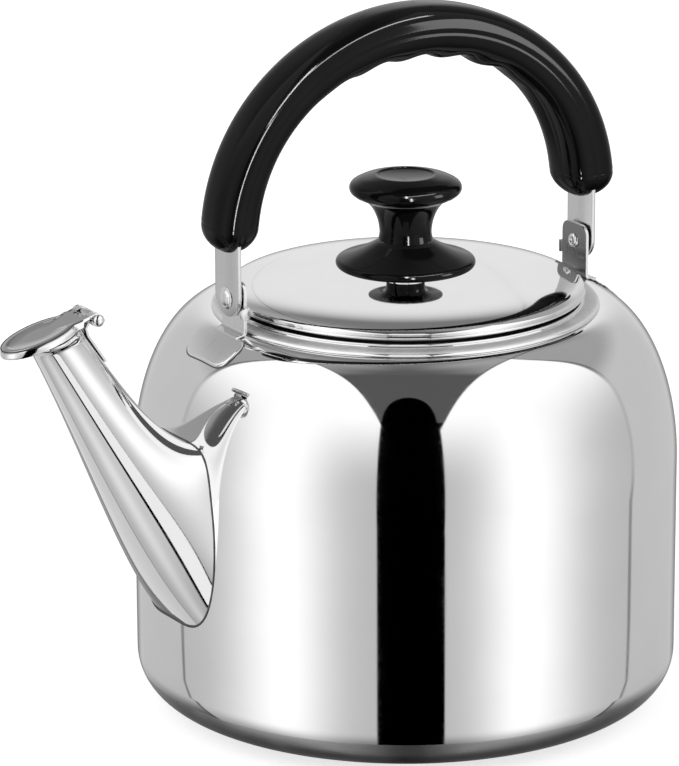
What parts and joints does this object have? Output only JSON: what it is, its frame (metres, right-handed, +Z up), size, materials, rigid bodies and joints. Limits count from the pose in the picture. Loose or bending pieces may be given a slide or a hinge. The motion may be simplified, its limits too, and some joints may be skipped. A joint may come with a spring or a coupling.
{
  "type": "stovetop whistling kettle",
  "caption": "Steel drum kettle with a lift-off lid and black knob, a tapering spout with a flip-up whistle cap, and a black arched handle that folds to either side.",
  "frame": {"origin": "centre of the base's underside, on the axis of the drum", "axes": "+Z up along the drum's axis; the spout points to -X, and the handle's arch stands in the XZ plane"},
  "size_m": [0.2922, 0.22, 0.2866],
  "materials": {
    "polished_steel": "mirror-polished stainless steel",
    "satin_steel": "fine-brushed stainless sheet",
    "black_bakelite": "glossy black moulded bakelite",
    "base_aluminium": "matt pressed aluminium"
  },
  "bodies": {
    "kettle": {"body_shell": "polished_steel", "base_core": "base_aluminium", "base_cover": "polished_steel", "spout_tube": "polished_steel", "cap_bracket": "satin_steel", "cap_pin": "polished_steel", "lug_left": "satin_steel", "lug_right": "satin_steel", "rivet_left": "polished_steel", "rivet_right": "polished_steel", "rivet_washer_left": "polished_steel", "rivet_washer_right": "polished_steel"},
    "handle": {"handle_grip": "black_bakelite", "strap_left": "satin_steel", "strap_right": "satin_steel"},
    "lid": {"lid_shell": "polished_steel", "knob_washer": "polished_steel", "knob_skirt": "black_bakelite", "knob_grip": "black_bakelite", "knob_screw": "satin_steel", "knob_screw_washer": "satin_steel"},
    "whistle": {"whistle_cap": "polished_steel", "whistle_cup": "satin_steel", "whistle_plate": "satin_steel"}
  },
  "joints": [
    {"name": "handle_fold", "type": "hinge", "parent": "kettle", "child": "handle", "pos_m": [0, 0, 0.1784], "axis": [1, 0, 0], "range_deg": [-35, 35]},
    {"name": "lid_lift", "type": "slide", "parent": "kettle", "child": "lid", "axis": [0, 0, 1], "range_m": [0, 0.03]},
    {"name": "cap_flip", "type": "hinge", "parent": "kettle", "child": "whistle", "pos_m": [-0.1445, 0, 0.1806], "axis": [0, 1, 0], "range_deg": [0, 100]}
  ]
}
